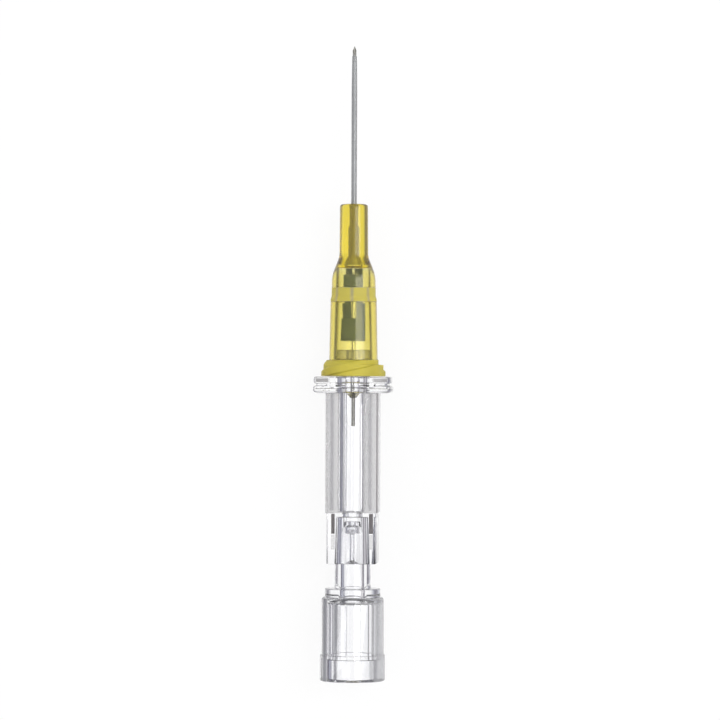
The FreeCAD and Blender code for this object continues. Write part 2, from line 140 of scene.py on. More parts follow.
def lathe(name, points, station, segments, shape=None):
    """Solid turned about the long axis from a closed outline of (radius, along).

    shape(angle, radius, along) may give back another radius.
    """
    bm = bmesh.new()
    rings = []
    for radius, along in points:
        ring = []
        for k in range(segments):
            angle = 2 * math.pi * k / segments
            reach = shape(angle, radius, along) if shape else radius
            across = reach * math.cos(angle)
            up = reach * math.sin(angle)
            ring.append(bm.verts.new(spot_at(across, along, up, station)))
        rings.append(ring)
    for i, ring in enumerate(rings):
        other = rings[(i + 1) % len(rings)]
        for k in range(segments):
            after = (k + 1) % segments
            bm.faces.new((ring[k], ring[after], other[after], other[k]))
    bmesh.ops.remove_doubles(bm, verts=bm.verts, dist=LATHE_WELD)
    bmesh.ops.dissolve_degenerate(bm, dist=LATHE_SLIVER, edges=bm.edges)
    return new_object(name, bm)


def prism(name, outline, station, start, end, edge=0.0, centre=(0.0, 0.0)):
    """Bar along Y with the outline (across, up) and, with an edge, rounded end rims."""
    levels = [(start, 0.0), (end, 0.0)]
    if edge > 0.0:
        back = [(start + edge - edge * math.sin(a), edge * (1 - math.cos(a))) for a in END_ARC]
        front = [(end - edge + edge * math.sin(a), edge * (1 - math.cos(a))) for a in END_ARC]
        levels = back[::-1] + front
    bm = bmesh.new()
    count = len(outline)
    rings = []
    for along, inset in levels:
        ring = []
        for i, (across, up) in enumerate(outline):
            before = Vector(outline[i - 1])
            after = Vector(outline[(i + 1) % count])
            tangent = (after - before).normalized()
            across_in = centre[0] + (across - tangent.y * inset)
            up_in = centre[1] + (up + tangent.x * inset)
            ring.append(bm.verts.new(spot_at(across_in, along, up_in, station)))
        rings.append(ring)
    for lower, upper in zip(rings, rings[1:]):
        for k in range(count):
            after = (k + 1) % count
            bm.faces.new((lower[k], lower[after], upper[after], upper[k]))
    bm.faces.new(rings[0][::-1])
    bm.faces.new(rings[-1])
    return new_object(name, bm)


def bridge(name, first, second):
    """Closed solid between two outlines of frame places with as many corners each."""
    bm = bmesh.new()
    low = [bm.verts.new(spot) for spot in first]
    high = [bm.verts.new(spot) for spot in second]
    bm.faces.new(low)
    bm.faces.new(high[::-1])
    for k in range(len(low)):
        after = (k + 1) % len(low)
        bm.faces.new((low[k], high[k], high[after], low[after]))
    return new_object(name, bm)


def circle(radius, count):
    """Outline with its corners on a circle, anticlockwise."""
    out = []
    for k in range(count):
        angle = 2 * math.pi * k / count
        out.append((radius * math.cos(angle), radius * math.sin(angle)))
    return out


def rounded_box(half_width, half_height, radius, steps=10):
    """Rectangle with round corners, anticlockwise."""
    out = []
    for quarter, (sx, sy) in enumerate(((1, 1), (-1, 1), (-1, -1), (1, -1))):
        for k in range(steps + 1):
            angle = math.radians(90 * quarter + 90 * k / steps)
            across = sx * (half_width - radius) + radius * math.cos(angle)
            up = sy * (half_height - radius) + radius * math.sin(angle)
            out.append((across, up))
    return out


def combine(target, tool, operation):
    """Joins or cuts the target with the tool, which is then gone."""
    modifier = target.modifiers.new("combine", "BOOLEAN")
    modifier.operation = operation
    modifier.object = tool
    modifier.solver = "EXACT"
    graph = bpy.context.evaluated_depsgraph_get()
    mesh = bpy.data.meshes.new_from_object(target.evaluated_get(graph))
    old = target.data
    target.modifiers.clear()
    target.data = mesh
    bpy.data.meshes.remove(old)
    tool_mesh = tool.data
    bpy.data.objects.remove(tool)
    bpy.data.meshes.remove(tool_mesh)


def finish_mesh(obj, sharp_angle=SHARP_ANGLE):
    """Welds what a boolean leaves, then smooth shading with sharp corners."""
    bm = bmesh.new()
    bm.from_mesh(obj.data)
    bmesh.ops.remove_doubles(bm, verts=bm.verts, dist=CUT_WELD)
    bmesh.ops.dissolve_degenerate(bm, dist=CUT_SLIVER, edges=bm.edges)
    bmesh.ops.recalc_face_normals(bm, faces=bm.faces)
    bm.to_mesh(obj.data)
    bm.free()
    obj.data.shade_smooth()
    obj.data.set_sharp_from_angle(angle=math.radians(sharp_angle))


def mark(obj, station, rule):
    """Stores the frost, painted shade and painted light of each vertex, worked out from its place
    across, along and up.
    """
    layer = obj.data.attributes.new("frost_and_painted_light", "FLOAT", "POINT")
    for vertex, cell in zip(obj.data.vertices, layer.data):
        x, y, z = vertex.co
        cell.value = rule(x / MM, (y - station) / MM, (z - AXIS_Z) / MM)


# Materials. Where a mesh is marked, plastic is matt and has its own colour, which is frost,
# painted shade and painted light in different places; marked steel is darker
FROST_ROUGHNESS = 0.45
FROST_BLOCK = 0.5
DARKER_STEEL = (0.31, 0.305, 0.28)
CLEAR_PALE = (0.985, 0.985, 0.99)
CLEAR_DARK = (0.96, 0.962, 0.975)
RAMP_START = 0.3
RAMP_END = 0.7
BUMP_DISTANCE = 0.00005
FLOW_DETAIL = 2.0
FLOW_SCALE = 2500.0
FLOW_STRETCH = (1.0, 0.15, 1.0)
CLOUD_SCALE = 900.0
CLOUD_DETAIL = 3.0
CLOUD_STRETCH = (1.0, 0.3, 1.0)
HAZE_LOW = 0.6
HAZE_HIGH = 1.4
BRUSH_SCALE = 4000.0
BRUSH_DETAIL = 4.0
BRUSH_LOW = 0.7
BRUSH_HIGH = 1.4
BRUSH_BUMP = 0.15
BRUSH_BUMP_SCALE = 6000.0
MILKY_IOR = 1.50
EVEN = (1.0, 1.0, 1.0)

# Sockets of a colour Mix node, which share their names with its other kinds
MIX_FACTOR = 0
MIX_FIRST = 6
MIX_SECOND = 7
MIX_RESULT = 2


def material(name):
    made = bpy.data.materials.new(name)
    made.use_nodes = True
    nodes = made.node_tree.nodes
    shader = next(node for node in nodes if node.type == "BSDF_PRINCIPLED")
    return made, nodes, made.node_tree.links, shader


def noise(nodes, links, scale, detail, stretch=EVEN):
    """Noise over the object's own place, stretched along its axes."""
    place = nodes.new("ShaderNodeTexCoord")
    mapping = nodes.new("ShaderNodeMapping")
    mapping.inputs["Scale"].default_value = stretch
    texture = nodes.new("ShaderNodeTexNoise")
    texture.inputs["Scale"].default_value = scale
    texture.inputs["Detail"].default_value = detail
    links.new(place.outputs["Object"], mapping.inputs["Vector"])
    links.new(mapping.outputs["Vector"], texture.inputs["Vector"])
    return texture.outputs["Fac"]


def frost_and_painted_light_share(nodes):
    """How strongly the mesh is marked with frost, painted shade and painted light."""
    made = nodes.new("ShaderNodeAttribute")
    made.attribute_name = "frost_and_painted_light"
    return made.outputs["Fac"]


def ramp(nodes, links, source, low, high):
    """Colour that runs from low to high as the source rises."""
    made = nodes.new("ShaderNodeValToRGB")
    made.color_ramp.elements[0].position = RAMP_START
    made.color_ramp.elements[0].color = (*low, 1.0)
    made.color_ramp.elements[1].position = RAMP_END
    made.color_ramp.elements[1].color = (*high, 1.0)
    links.new(source, made.inputs["Fac"])
    return made.outputs["Color"]


def spread(nodes, links, source, low, high):
    """Number that runs from low to high as the source goes from 0 to 1."""
    made = nodes.new("ShaderNodeMapRange")
    made.inputs["To Min"].default_value = low
    made.inputs["To Max"].default_value = high
    links.new(source, made.inputs["Value"])
    return made.outputs["Result"]


def mix_colours(nodes, links, factor, first, second):
    """Colour that runs from the first to the second, which may be sockets or plain colours."""
    made = nodes.new("ShaderNodeMix")
    made.data_type = "RGBA"
    links.new(factor, made.inputs[MIX_FACTOR])
    for source, place in ((first, MIX_FIRST), (second, MIX_SECOND)):
        if isinstance(source, tuple):
            made.inputs[place].default_value = (*source, 1.0)
        else:
            links.new(source, made.inputs[place])
    return made.outputs[MIX_RESULT]


def moulding(nodes, links, shader, height, scale, stretch=FLOW_STRETCH):
    """Faint flow lines of a moulded or drawn surface."""
    bump = nodes.new("ShaderNodeBump")
    bump.inputs["Strength"].default_value = height
    bump.inputs["Distance"].default_value = BUMP_DISTANCE
    links.new(noise(nodes, links, scale, FLOW_DETAIL, stretch), bump.inputs["Height"])
    links.new(bump.outputs["Normal"], shader.inputs["Normal"])


def clear_plastic(name, pale, dark, matt, ior, haze, absorb=None, density=0.0, bump=0.05):
    """Clear moulded plastic with a trace of haze and flow lines; matt is its colour where it is
    marked, frost on the yellow hub and painted shade on the needle hub and plug.
    """
    made, nodes, links, shader = material(name)
    cloud = noise(nodes, links, CLOUD_SCALE, CLOUD_DETAIL, CLOUD_STRETCH)
    frost_and_painted_light = frost_and_painted_light_share(nodes)
    rough = nodes.new("ShaderNodeMath")
    rough.operation = "MULTIPLY_ADD"
    rough.inputs[1].default_value = FROST_ROUGHNESS
    links.new(frost_and_painted_light, rough.inputs[0])
    links.new(spread(nodes, links, cloud, haze * HAZE_LOW, haze * HAZE_HIGH), rough.inputs[2])
    links.new(rough.outputs[0], shader.inputs["Roughness"])
    tint = mix_colours(nodes, links, frost_and_painted_light, ramp(nodes, links, cloud, dark, pale), matt)
    links.new(tint, shader.inputs["Base Color"])
    shader.inputs["IOR"].default_value = ior
    see_through = spread(nodes, links, frost_and_painted_light, 1.0, 1.0 - FROST_BLOCK)
    links.new(see_through, shader.inputs["Transmission Weight"])
    moulding(nodes, links, shader, bump, FLOW_SCALE)
    if absorb:
        volume = nodes.new("ShaderNodeVolumeAbsorption")
        volume.inputs["Color"].default_value = (*absorb, 1.0)
        volume.inputs["Density"].default_value = density
        output = next(node for node in nodes if node.type == "OUTPUT_MATERIAL")
        links.new(volume.outputs["Volume"], output.inputs["Volume"])
    return made


def brushed_steel(name, pale, dark, rough, stretch, metallic=1.0):
    """Drawn or rolled steel with fine lines along its length, darker where it is marked."""
    made, nodes, links, shader = material(name)
    lines = noise(nodes, links, BRUSH_SCALE, BRUSH_DETAIL, stretch)
    tone = ramp(nodes, links, lines, dark, pale)
    links.new(
        mix_colours(nodes, links, frost_and_painted_light_share(nodes), tone, DARKER_STEEL),
        shader.inputs["Base Color"],
    )
    links.new(
        spread(nodes, links, lines, rough * BRUSH_LOW, rough * BRUSH_HIGH),
        shader.inputs["Roughness"],
    )
    shader.inputs["Metallic"].default_value = metallic
    moulding(nodes, links, shader, BRUSH_BUMP, BRUSH_BUMP_SCALE, stretch)
    return made


def milky_plastic(name, pale, dark, scale, detail, stretch, rough, clear, bump):
    """Milky, partly clear polymer with fine grain, or lines where the grain is stretched."""
    made, nodes, links, shader = material(name)
    grain = noise(nodes, links, scale, detail, stretch)
    links.new(ramp(nodes, links, grain, dark, pale), shader.inputs["Base Color"])
    links.new(spread(nodes, links, grain, *rough), shader.inputs["Roughness"])
    shader.inputs["IOR"].default_value = MILKY_IOR
    shader.inputs["Transmission Weight"].default_value = clear
    moulding(nodes, links, shader, bump, scale, stretch)
    return made


# The needle hub's matt colour is near black: wherever the hub is marked, it is painted shade.
CLEAR = clear_plastic(
    "clear_plastic",
    pale=CLEAR_PALE,
    dark=CLEAR_DARK,
    matt=(0.12, 0.108, 0.112),
    ior=1.50,
    haze=0.02,
)
# The plug's matt colour is grey: on the skirt's sides it is painted shade, and on the nose a
# trace of frost.
PLUG_CLEAR = clear_plastic(
    "plug_plastic",
    pale=CLEAR_PALE,
    dark=CLEAR_DARK,
    matt=(0.34, 0.34, 0.37),
    ior=1.50,
    haze=0.02,
)
YELLOW = clear_plastic(
    "yellow_plastic",
    pale=(0.99, 0.985, 0.94),
    dark=(0.97, 0.96, 0.88),
    matt=(0.83, 0.74, 0.09),
    ior=1.49,
    haze=0.15,
    absorb=(0.930, 0.856, 0.06),
    density=850.0,
    bump=0.08,
)
GLUE = clear_plastic(
    "cured_glue",
    pale=(0.96, 0.96, 0.93),
    dark=(0.92, 0.92, 0.88),
    matt=(0.6, 0.6, 0.5),
    ior=1.51,
    haze=0.10,
)
NEEDLE_STEEL = brushed_steel(
    "needle_steel",
    pale=(0.66, 0.67, 0.68),
    dark=(0.50, 0.51, 0.52),
    rough=0.22,
    stretch=(1.0, 0.02, 1.0),
)
# The clip's dark teal tone is painted shade: it stands in for the dark surroundings the steel
# reflects inside the yellow hub.
SPRING_STEEL = brushed_steel(
    "spring_steel",
    pale=(0.15, 0.20, 0.19),
    dark=(0.11, 0.155, 0.15),
    rough=0.60,
    stretch=(1.0, 0.05, 1.0),
    metallic=0.35,
)
EYELET_STEEL = brushed_steel(
    "eyelet_steel",
    pale=(0.55, 0.56, 0.57),
    dark=(0.42, 0.43, 0.44),
    rough=0.25,
    stretch=(1.0, 0.05, 1.0),
)
SOFT_TUBE = milky_plastic(
    "soft_tube",
    pale=(0.64, 0.65, 0.66),
    dark=(0.50, 0.51, 0.52),
    scale=5000.0,
    detail=3.0,
    stretch=(1.0, 0.01, 1.0),
    rough=(0.12, 0.20),
    clear=0.66,
    bump=0.02,
)
POROUS = milky_plastic(
    "porous_film",
    pale=(0.95, 0.95, 0.95),
    dark=(0.80, 0.80, 0.80),
    scale=9000.0,
    detail=5.0,
    stretch=EVEN,
    rough=(0.6, 0.9),
    clear=0.5,
    bump=0.3,
)


def dress(obj, made, body, slot_name, *nodes):
    """Gives a finished piece its material, its body and the nodes it stands for."""
    obj.data.materials.clear()
    obj.data.materials.append(made)
    for polygon in obj.data.polygons:
        polygon.material_index = 0
    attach(obj, body)
    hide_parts(*nodes)


# Sizes that several pieces share. A vertex within TOUCH of a face counts as on it, and
# within MARGIN of a zone's end as inside it
TOUCH = 0.01
MARGIN = 0.05
SEAT_GAP = 0.012
LUER_MOUTH = 2.15
LUER_SLOPE = 0.03
TUBE_RADIUS = 0.35
FLARE_RADIUS = 0.45
EYELET_RADIUS = 0.80
NEEDLE_RADIUS = 0.23


# Catheter hub: thread ring, body, shoulder and nose round one stepped bore
HUB_LENGTH = node_length("catheter_hub")
HUB_SEGMENTS = 192
CHAMBER_RADIUS = 1.85
CHAMBER_END = 13.1
FUNNEL_MOUTH = 13.4
FLARE_START = FUNNEL_MOUTH + 1.117
FLARE_END = 18.0
NECK_END = 18.4

# Thread ring: its side is cut by the thread, and its rim steps down on the right
THREAD_LENGTH = 1.96
THREAD_OUTER = 3.92
THREAD_DEPTH = 0.26
THREAD_LEAD = 5.0
THREAD_STARTS = 2
THREAD_PHASE = math.radians(89.0)
THREAD_FADE = 0.3
CREST_HALF = 0.24
CREST_FADE = 0.07
RING_INNER = 2.97
RIM_START = 1.25
RIM_RADIUS = 3.05
RIM_ROWS = 20
RIM_CURVE = 0.8
RIM_SPACING = 1.3
STEP_END = 1.38
STEP_RADIUS = RIM_RADIUS + 0.05
STEP_COSINE = 0.2
STEP_FADE = 0.5

# Ridge inside the bore, with notches
RIDGE_START = 9.1
RIDGE_END = 10.75
RIDGE_RADIUS = 1.55
RIDGE_FOOT = 0.3
RIDGE_NOTCHES = 8
NOTCH_HALF = 0.15
NOTCH_DEPTH = 0.22
NOTCH_FADE = 0.06

# Frost of the ring, of the nose's bore and of the ridge, and painted light on the band outside
# the ridge
RING_FROST = 1.0
FUNNEL_FROST = 0.6
FUNNEL_START = FUNNEL_MOUTH - 0.1
NOSE_BORE = 0.9
RIDGE_FROST = 1.6
RIDGE_SKIN = 0.1
BAND_PAINTED_LIGHT = 0.95
BAND_RADIUS = 2.5
NOTCH_GLEAM = 0.45
GLEAM_HALF = 0.3


def notch_distance(angle, radius):
    """Way round the axis from the nearest notch."""
    step = 2 * math.pi / RIDGE_NOTCHES
    return abs((angle + step / 2) % step - step / 2) * radius


def hub_shape(angle, radius, along):
    """Thread on the ring, and notches in the inner ridge."""
    if radius > RIM_RADIUS + TOUCH and along < THREAD_LENGTH + TOUCH:
        stepped = THREAD_OUTER if along < STEP_END else STEP_RADIUS
        radius += (stepped - radius) * clamp((math.cos(angle) - STEP_COSINE) / STEP_FADE)
        turn = THREAD_STARTS * (angle - THREAD_PHASE) / (2 * math.pi)
        phase = (turn + THREAD_STARTS * along / THREAD_LEAD) % 1.0
        crest = clamp((CREST_HALF - abs(phase - 0.5)) / CREST_FADE)
        crest = crest * crest * (3 - 2 * crest)
        return radius - THREAD_DEPTH * (1 - crest) * min(1.0, (radius - RIM_RADIUS) / THREAD_FADE)
    in_ridge = RIDGE_START - RIDGE_FOOT < along < RIDGE_END + TOUCH
    if in_ridge and radius < RIDGE_RADIUS + 2 * TOUCH:
        away = notch_distance(angle, RIDGE_RADIUS)
        if away < NOTCH_HALF:
            return radius + NOTCH_DEPTH * min(1.0, (NOTCH_HALF - away) / NOTCH_FADE)
    return radius


def hub_frost_and_light(across, along, up):
    """The thread ring, the nose's bore and the ridge are matt, and so is a band of painted light
    on the wall round the ridge, clearer over the notches.
    """
    radius = math.hypot(across, up)
    if radius > RING_INNER and along < THREAD_LENGTH + 2 * TOUCH:
        return RING_FROST
    if radius < NOSE_BORE and along > FUNNEL_START:
        return FUNNEL_FROST
    if not RIDGE_START - 2 * TOUCH < along < RIDGE_END + 2 * TOUCH:
        return 0.0
    if radius < RIDGE_RADIUS + RIDGE_SKIN:
        return RIDGE_FROST
    if radius < BAND_RADIUS:
        return 0.0
    away = notch_distance(math.atan2(up, across), radius)
    return BAND_PAINTED_LIGHT - NOTCH_GLEAM * clamp(1.0 - away / GLEAM_HALF)


def thread_rows():
    """Rows of the ring's side and rim, close enough together to carry the thread."""
    side = [(THREAD_OUTER, RIM_START * k / RIM_ROWS) for k in range(RIM_ROWS)]
    drop = THREAD_LENGTH - RIM_START
    slope = []
    for k in range(RIM_ROWS + 1):
        t = math.radians(90 * k / RIM_ROWS)
        radius = RIM_RADIUS + (THREAD_OUTER - RIM_RADIUS) * math.cos(t) ** RIM_CURVE
        slope.append((radius, RIM_START + drop * math.sin(t) ** RIM_SPACING))
    return side + slope


def make_hub():
    luer_end = LUER_MOUTH - LUER_SLOPE * RIDGE_START
    bore = [
        (EYELET_RADIUS + SEAT_GAP, FUNNEL_MOUTH),
        (0.86, CHAMBER_END + 0.05, 0.1),
        (CHAMBER_RADIUS, CHAMBER_END, 0.1),
        (CHAMBER_RADIUS, RIDGE_END + 0.15),
        (CHAMBER_RADIUS, RIDGE_END, 0.05),
        (RIDGE_RADIUS, RIDGE_END, 0.45),
        (RIDGE_RADIUS, RIDGE_START, 0.45),
        (luer_end, RIDGE_START, 0.05),
        (LUER_MOUTH - LUER_SLOPE * (RIDGE_START - 0.12), RIDGE_START - 0.12),
        (LUER_MOUTH, 0.0, 0.12),
    ]
    # The pairs of rows at both ends of the ridge keep the edges of the painted-light band sharp
    wall = [
        (2.955, THREAD_LENGTH + 0.02, 0.02),
        (2.8168, RIDGE_START - 0.05),
        (2.8159, RIDGE_START),
        (2.81, 9.4, 0.25),
        (2.69, 9.7, 0.25),
        (2.6777, RIDGE_END),
        (2.6771, RIDGE_END + 0.05),
        (2.66, 12.26, 0.9),
        (1.76, 14.56, 0.45),
        (1.71, HUB_LENGTH, 0.40),
        (0.55, HUB_LENGTH, 0.12),
        (TUBE_RADIUS + SEAT_GAP, HUB_LENGTH - 0.5),
        (TUBE_RADIUS + SEAT_GAP, NECK_END),
        (FLARE_RADIUS + SEAT_GAP, FLARE_END),
        (FLARE_RADIUS + SEAT_GAP, FLARE_START),
    ]
    points = rounded(bore) + [(3.45, 0.0)] + thread_rows() + rounded(wall)
    station = rear("catheter_hub")
    hub = lathe("catheter_hub_fine", points, station, HUB_SEGMENTS, hub_shape)
    mark(hub, station, hub_frost_and_light)
    dress(hub, YELLOW, "catheter", "yellow_plastic", "catheter_hub")


make_hub()


# Catheter tube with its flared rear end and tapered tip
TUBE_SEGMENTS = 64
TUBE_BORE = 0.25
TUBE_BORE_FLARE = 0.33


def make_tube():
    length = node_length("catheter_tube")
    points = [
        (TUBE_BORE_FLARE, 0.0),
        (FLARE_RADIUS, 0.0, 0.04),
        (FLARE_RADIUS, 3.1, 0.2),
        (TUBE_RADIUS, 3.5, 0.2),
        (TUBE_RADIUS, length - 4.0, 1.0),
        (0.31, length - 1.2, 0.6),
        (0.285, length, 0.05),
        (TUBE_BORE, length),
        (TUBE_BORE, 3.5),
        (TUBE_BORE_FLARE, 3.1),
    ]
    tube = lathe("catheter_tube_fine", rounded(points), rear("catheter_tube"), TUBE_SEGMENTS)
    dress(tube, SOFT_TUBE, "catheter", "soft_tube", "catheter_tube")


make_tube()


# Steel funnel behind the tube
EYELET_SEGMENTS = 64
EYELET_NECK = 0.33
EYELET_BORE = 0.26
EYELET_LENGTH = 4.6


def make_eyelet():
    points = [
        (0.74, 0.0),
        (EYELET_RADIUS, 0.0, 0.03),
        (0.36, 1.40, 0.2),
        (EYELET_NECK, 1.60, 0.1),
        (EYELET_NECK, EYELET_LENGTH, 0.02),
        (EYELET_BORE, EYELET_LENGTH, 0.02),
        (EYELET_BORE, 1.5, 0.2),
    ]
    station = rear("catheter_eyelet")
    eyelet = lathe("catheter_eyelet_fine", rounded(points), station, EYELET_SEGMENTS)
    dress(eyelet, EYELET_STEEL, "catheter", "eyelet_steel", "catheter_eyelet")


make_eyelet()


# Needle with a lancet point: one long bevel and a facet on each side
NEEDLE_LENGTH = node_length("needle_cannula")
NEEDLE_SEGMENTS = 48
NEEDLE_ROWS = 40
NEEDLE_SHARP_ANGLE = 30.0
NEEDLE_BORE = 0.145
BEVEL_LENGTH = 1.25
FACET_LENGTH = 0.62
FACET_EDGE = 0.235
FACET_WIDTH = 0.8
FACET_LEAN = 0.10
TOOL_REACH = 0.5
TOOL_TOP = 0.6
DARK_TAIL = 4.8
TIP_DARKENING = 0.8
TIP_START = NEEDLE_LENGTH - BEVEL_LENGTH - 0.1


def needle_darkening(across, along, up):
    """The needle is darker at its tail and a little at its point, and painted shade darkens its
    bore.
    """
    if along < DARK_TAIL or math.hypot(across, up) < NEEDLE_BORE + 2 * TOUCH:
        return 1.0
    return TIP_DARKENING if along > TIP_START else 0.0


def bevel_tool(station):
    """Wedge over the long bevel."""
    start = NEEDLE_LENGTH - BEVEL_LENGTH
    end = NEEDLE_LENGTH + TOOL_REACH
    corners = [
        (start, NEEDLE_RADIUS),
        (NEEDLE_LENGTH, -NEEDLE_RADIUS),
        (end, -NEEDLE_RADIUS),
        (end, TOOL_TOP),
        (start, TOOL_TOP),
    ]
    left = [spot_at(-TOOL_REACH, along, up, station) for along, up in corners]
    right = [spot_at(TOOL_REACH, along, up, station) for along, up in corners]
    return bridge("bevel_tool", left, right)


def facet_tool(station, side):
    """Leaning block beside the point, on the right for 1 and on the left for -1."""
    tip = NEEDLE_LENGTH + 2 * TOUCH
    back = NEEDLE_LENGTH - FACET_LENGTH
    outer = FACET_WIDTH * side
    corners = [(0.0, tip), (outer, tip), (outer, back), (FACET_EDGE * side, back)]
    rings = []
    for up in (-TOOL_REACH, TOOL_REACH):
        lean = FACET_LEAN * side * up
        rings.append([spot_at(across + lean, along, up, station) for across, along in corners])
    return bridge("facet_tool", *rings)


def make_needle():
    station = rear("needle_cannula")
    rows = [(NEEDLE_RADIUS, NEEDLE_LENGTH * k / NEEDLE_ROWS) for k in range(NEEDLE_ROWS + 1)]
    points = [(NEEDLE_BORE, NEEDLE_LENGTH), (NEEDLE_BORE, 0.0)] + rows
    needle = lathe("needle_cannula_fine", points, station, NEEDLE_SEGMENTS)
    combine(needle, bevel_tool(station), "DIFFERENCE")
    for side in (1, -1):
        combine(needle, facet_tool(station, side), "DIFFERENCE")
    finish_mesh(needle, NEEDLE_SHARP_ANGLE)
    mark(needle, station, needle_darkening)
    dress(needle, NEEDLE_STEEL, "needle_unit", "needle_steel", "needle_cannula")


make_needle()


# Needle hub: socket, round barrel between two rails, push-off plate and nose
HOLDER_LENGTH = node_length("needle_hub")
HOLDER_SEGMENTS = 128
SOCKET_END = 6.15
SOCKET_HALF_WIDTH = 3.03
SOCKET_HALF_HEIGHT = 2.85
SOCKET_CORNER = 0.7
SOCKET_CORNER_STEPS = 12
SOCKET_EDGE = 0.12
SOCKET_OVERLAP = 0.25
GRIP_END = 20.75
GRIP_HALF_WIDTH = 3.16
GRIP_HALF_HEIGHT = 2.9
GRIP_OVERLAP = 0.3
BARREL_RADIUS = 2.25
BARREL_CORNERS = 160
BARREL_START = SOCKET_END - 0.55
RAIL_HALF = 0.82
RAIL_CORNER = 0.22
RAIL_CORNER_STEPS = 8
RAIL_EDGE = 0.15
GROOVE_HALF = 0.24
GROOVE_SHIFT = 0.3
GROOVE_START = SOCKET_END + 0.4
GROOVE_END = GRIP_END - 0.05
PLATE_END = 22.75
PLATE_HALF_WIDTH = node_width("needle_hub") / 2
PLATE_HALF_HEIGHT = node_height("needle_hub") / 2
PLATE_CORNER = 2.2
SADDLE_HALF = 3.05
NOSE_RADIUS = 2.12
NOSE_ROOT = PLATE_END - 0.4

# Pockets in the socket's top: (across, half width), each with a dark stripe and a paler patch of
# painted shade on its floor
POCKETS = ((-2.20, 0.21), (2.42, 0.24))
POCKET_DEPTH = 0.15
POCKET_CLEARANCE = 0.2
STRIPE_START = 3.7
STRIPE_END = SOCKET_END - 0.03
PATCH_START = 1.8
PATCH_END = STRIPE_START - 0.12

# Bores: luer socket, flash bore, cavity round a boss, needle hole and glue well, cut past
# both ends of the hub by OVERCUT
OVERCUT = 0.3
LUER_DEPTH = 5.7
FLASH_RADIUS = 1.3
FLASH_END = 21.2
CAVITY_RADIUS = 2.05
CAVITY_END = PLATE_END - 0.15
BOSS_RADIUS = 1.28
BOSS_REAR = FLASH_END - 1.1
NEEDLE_HOLE = NEEDLE_RADIUS + 0.02
WELL_START = HOLDER_LENGTH - 2.2
WELL_RADIUS = 0.6 + SEAT_GAP

# Painted shade on the rails' tops, on their right side, in the pockets, on the plate and on the
# nose
RAIL_PAINTED_SHADE = 0.56
RAIL_TOP = GRIP_HALF_HEIGHT - 0.5
RAIL_SHADE_END = GRIP_END + 0.35
LOWEST_SHADE = -1.0
SIDE_PAINTED_SHADE = 0.9
SIDE_START = GRIP_HALF_WIDTH - 0.1
STRIPE_PAINTED_SHADE = 1.9
PATCH_PAINTED_SHADE = 0.4
PLATE_PAINTED_SHADE = 0.8
RIM_ZONE = (GRIP_END + 1.37, PLATE_END - 0.25)
RIM_ACROSS = (2.7, 4.4)
NOSE_PAINTED_SHADE = 0.35
NOSE_START = PLATE_END + 0.1
NOSE_SKIN = 1.9


def rail_painted_shade(across, along, up):
    """Painted shade on the tops of both rails and, darker, on the outer side of the right one."""
    if SIDE_START < across < GRIP_HALF_WIDTH + TOUCH:
        return SIDE_PAINTED_SHADE
    lowest = SOCKET_HALF_HEIGHT + TOUCH if along < SOCKET_END + MARGIN else RAIL_TOP
    top = lowest < up < GRIP_HALF_HEIGHT + TOUCH
    return RAIL_PAINTED_SHADE if top and abs(across) < GRIP_HALF_WIDTH + TOUCH else 0.0


def holder_painted_shade(across, along, up):
    """Painted shade on the nose, the rails, the floors of the pockets, and two places on the
    plate's upper front face.
    """
    if along > NOSE_START and math.hypot(across, up) > NOSE_SKIN:
        return NOSE_PAINTED_SHADE
    if SOCKET_END - TOUCH < along < RAIL_SHADE_END and up > LOWEST_SHADE:
        return rail_painted_shade(across, along, up)
    in_pocket = any(abs(across - place) < half + TOUCH for place, half in POCKETS)
    on_floor = abs(up - SOCKET_HALF_HEIGHT + POCKET_DEPTH) < TOUCH
    if in_pocket and on_floor and PATCH_START - MARGIN < along < SOCKET_END + TOUCH:
        return STRIPE_PAINTED_SHADE if along > STRIPE_START - MARGIN else PATCH_PAINTED_SHADE
    in_rim = RIM_ZONE[0] < along < RIM_ZONE[1] and RIM_ACROSS[0] < abs(across) < RIM_ACROSS[1]
    return PLATE_PAINTED_SHADE if in_rim and up > 0 else 0.0


def cut_pockets(holder, station):
    low = -POCKET_DEPTH
    high = POCKET_CLEARANCE
    for place, half in POCKETS:
        outline = [(half, low), (half, high), (-half, high), (-half, low)]
        centre = (place, SOCKET_HALF_HEIGHT)
        for start, end in ((STRIPE_START, STRIPE_END), (PATCH_START, PATCH_END)):
            pocket = prism("socket_pocket", outline, station, start, end, centre=centre)
            combine(holder, pocket, "DIFFERENCE")


def make_rail(station, side):
    """Rail on the right for 1 and on the left for -1, with a groove under it."""
    place = (GRIP_HALF_WIDTH - RAIL_HALF) * side
    rail = prism(
        "rail",
        rounded_box(RAIL_HALF, GRIP_HALF_HEIGHT, RAIL_CORNER, RAIL_CORNER_STEPS),
        station,
        SOCKET_END,
        GRIP_END + GRIP_OVERLAP,
        edge=RAIL_EDGE,
        centre=(place, 0.0),
    )
    groove = prism(
        "rail_groove",
        circle(GROOVE_HALF, 4),
        station,
        GROOVE_START,
        GROOVE_END,
        centre=(place - GROOVE_SHIFT, -GRIP_HALF_HEIGHT),
    )
    combine(rail, groove, "DIFFERENCE")
    return rail


